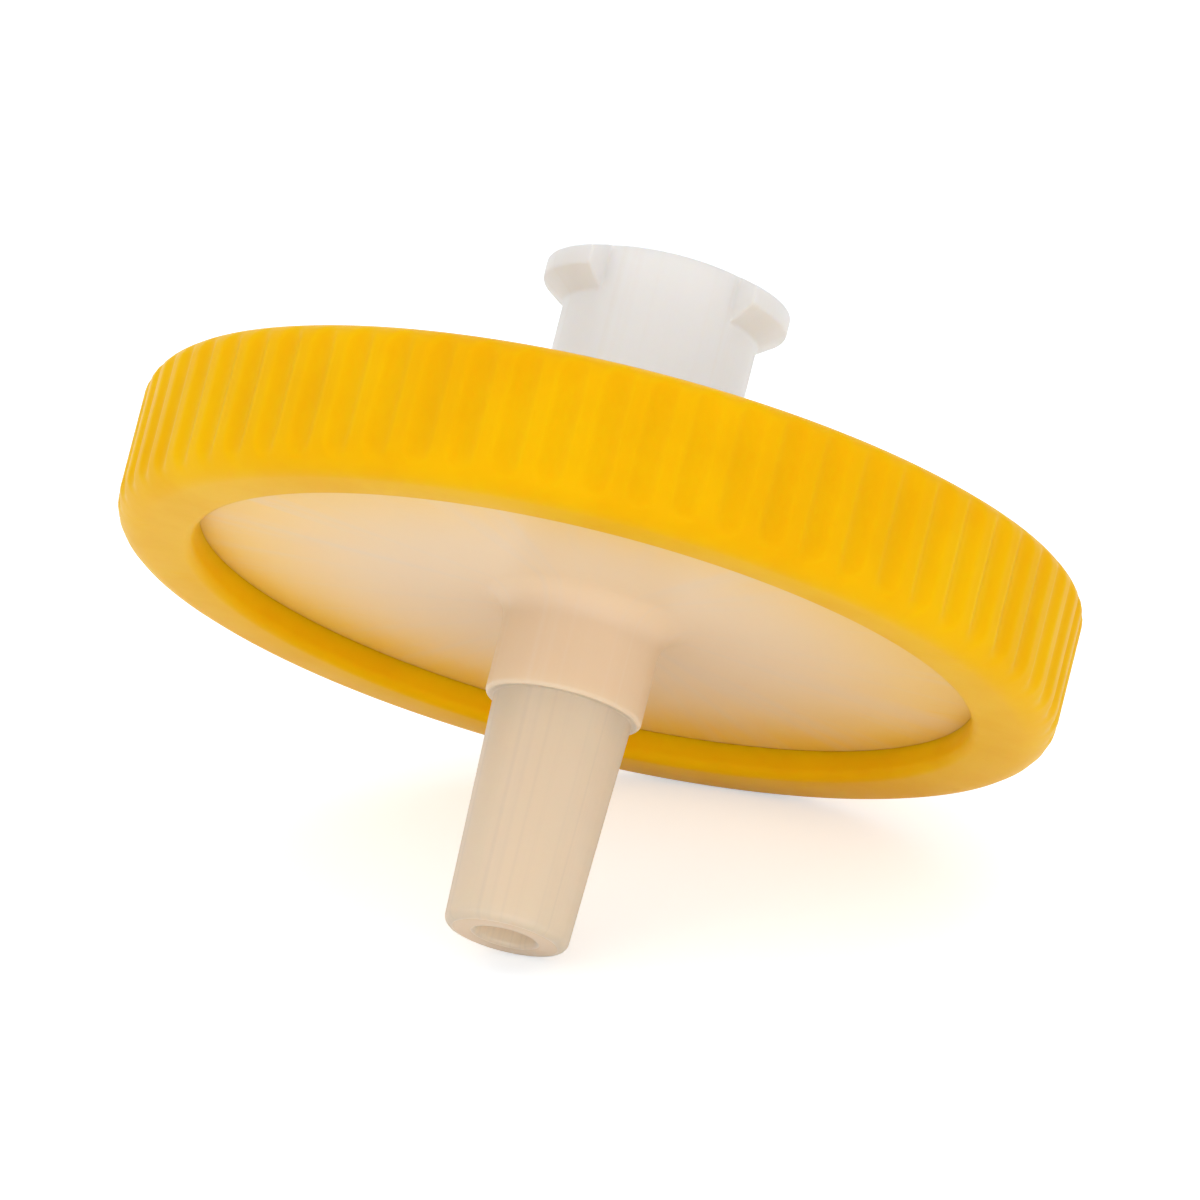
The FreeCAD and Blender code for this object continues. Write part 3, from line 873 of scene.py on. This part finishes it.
membrane = frame["nodes"]["membrane"]
membrane.data.materials.clear()
membrane.data.materials.append(make_membrane_finish())
print("membrane finished")

# %% [markdown]
# ## Ink
# Pad-printed ink is nearly black, matt, and a little thin in places.

# %% Ink
INK = (0.030, 0.028, 0.030, 1)
THIN_INK = (0.160, 0.150, 0.140, 1)


def make_ink():
    material, tree, shader, at = open_material("print_ink", {})
    thin = rescale(tree, noise(tree, at["Place"], 0.25, 3.0), 0.45, 0.8)
    colour = blend_colours(tree, thin, INK, THIN_INK)
    roughness = calculate(tree, "MULTIPLY_ADD", thin, 0.2, 0.55)
    dress(tree, shader, {"Base Color": colour, "Roughness": roughness}, thin, 0.004)
    return material


face_print.data.materials.append(make_ink())
print("ink on the print")

# %% [markdown]
# ## Camera
# The camera looks down on the filter from a little to the right, through a long lens from
# arm's length, so that near and far sides have almost the same scale. It aims at the middle of
# what it sees, and the lens is worked out from the share of the picture that the filter fills.

# %% Camera
AZIMUTH = math.radians(22.6)
ELEVATION = math.radians(20.1)
DISTANCE = 0.76  # metres
FILL = 0.80

scene = bpy.context.scene
back = Vector((
    math.sin(AZIMUTH) * math.cos(ELEVATION),
    -math.cos(AZIMUTH) * math.cos(ELEVATION),
    math.sin(ELEVATION),
))


def make_camera():
    turned = (-back).to_track_quat("-Z", "Y")
    right = turned @ Vector((1, 0, 0))
    up = turned @ Vector((0, 1, 0))
    points = [vertex.co for node in frame["nodes"].values() for vertex in node.data.vertices]
    across = [point.dot(right) for point in points]
    upward = [point.dot(up) for point in points]
    aim = right * (max(across) + min(across)) / 2 + up * (max(upward) + min(upward)) / 2
    camera = bpy.data.objects.new("camera", bpy.data.cameras.new("camera"))
    scene.collection.objects.link(camera)
    camera.location = aim + back * DISTANCE
    camera.rotation_mode = "QUATERNION"
    camera.rotation_quaternion = turned
    camera.data.lens = camera.data.sensor_width * DISTANCE * FILL / (max(across) - min(across))
    camera.data.clip_start = DISTANCE / 100
    camera.data.clip_end = DISTANCE * 100
    return camera


scene.camera = make_camera()
print(f"lens {scene.camera.data.lens:.0f} mm")

# %% [markdown]
# ## Floor and light
# The filter lies on a white table top inside a tent of white cloth, so light comes almost evenly
# from everywhere. The sky is that cloth, and four weak lamps shape it: the widest stands low in
# front, to light the plate that looks down at the table. The floor is plain white paint, and a
# little extra white is added only where the camera, a reflection or a refraction sees it. That
# clears the backdrop without putting more light on the filter, and its shadow stays.

# %% Floor
FLOOR_SIZE = 2.0
FLOOR_WHITE = (0.93, 0.93, 0.93, 1)
FLOOR_LIFT = 0.52
LIFT_COLOUR = (0.78, 0.90, 1.00, 1)  # a little blue, against the warm light that the ring sheds


def seen_directly(tree):
    """1 for camera, glossy and transmitted rays, and 0 for the rays that light the filter."""
    rays = add_node(tree, "ShaderNodeLightPath").outputs
    seen = calculate(tree, "MAXIMUM", rays["Is Camera Ray"], rays["Is Glossy Ray"])
    return calculate(tree, "MAXIMUM", seen, rays["Is Transmission Ray"])


def make_floor():
    sheet = bmesh.new()
    bmesh.ops.create_grid(sheet, x_segments=1, y_segments=1, size=FLOOR_SIZE)
    mesh = bpy.data.meshes.new("floor")
    sheet.to_mesh(mesh)
    sheet.free()
    floor = bpy.data.objects.new("floor", mesh)
    scene.collection.objects.link(floor)
    material = bpy.data.materials.new("floor_white")
    material.use_nodes = True
    tree = material.node_tree
    tree.nodes.remove(tree.nodes["Principled BSDF"])
    paint = add_node(tree, "ShaderNodeBsdfDiffuse", {"Color": FLOOR_WHITE}).outputs[0]
    lift = calculate(tree, "MULTIPLY", seen_directly(tree), FLOOR_LIFT)
    glow = add_node(tree, "ShaderNodeEmission", {"Color": LIFT_COLOUR, "Strength": lift}).outputs[0]
    both = add_node(tree, "ShaderNodeAddShader", {0: paint, 1: glow}).outputs[0]
    tree.links.new(both, tree.nodes["Material Output"].inputs["Surface"])
    mesh.materials.append(material)


make_floor()
print("floor laid")

# %% Sky and lamps
SKY_LIGHT = 0.78


def make_sky():
    world = bpy.data.worlds.new("studio")
    world.use_nodes = True
    tree = world.node_tree
    seen = seen_directly(tree)
    strength = calculate(tree, "MULTIPLY_ADD", seen, 1 - SKY_LIGHT, SKY_LIGHT)
    tree.links.new(strength, tree.nodes["Background"].inputs["Strength"])
    tree.nodes["Background"].inputs["Color"].default_value = (1, 1, 1, 1)
    scene.world = world


def add_softbox(name, azimuth, elevation, distance, width, height, power):
    """A rectangular lamp that looks at the filter from a direction in degrees."""
    turn = math.radians(azimuth)
    rise = math.radians(elevation)
    away = Vector((math.sin(turn) * math.cos(rise), -math.cos(turn) * math.cos(rise), math.sin(rise)))
    lamp = bpy.data.objects.new(name, bpy.data.lights.new(name, "AREA"))
    scene.collection.objects.link(lamp)
    lamp.data.shape = "RECTANGLE"
    lamp.data.size = width
    lamp.data.size_y = height
    lamp.data.energy = power
    lamp.location = middle + away * distance
    lamp.rotation_mode = "QUATERNION"
    lamp.rotation_quaternion = (-away).to_track_quat("-Z", "Y")


make_sky()
add_softbox("top", 10, 78, 0.5, 0.45, 0.45, 0.25)
add_softbox("key", -40, 40, 0.5, 0.30, 0.30, 0.20)
add_softbox("back", 195, 40, 0.5, 0.45, 0.45, 0.20)
add_softbox("front", 36, 7, 0.6, 1.20, 0.14, 1.25)
scene.view_settings.view_transform = "Standard"
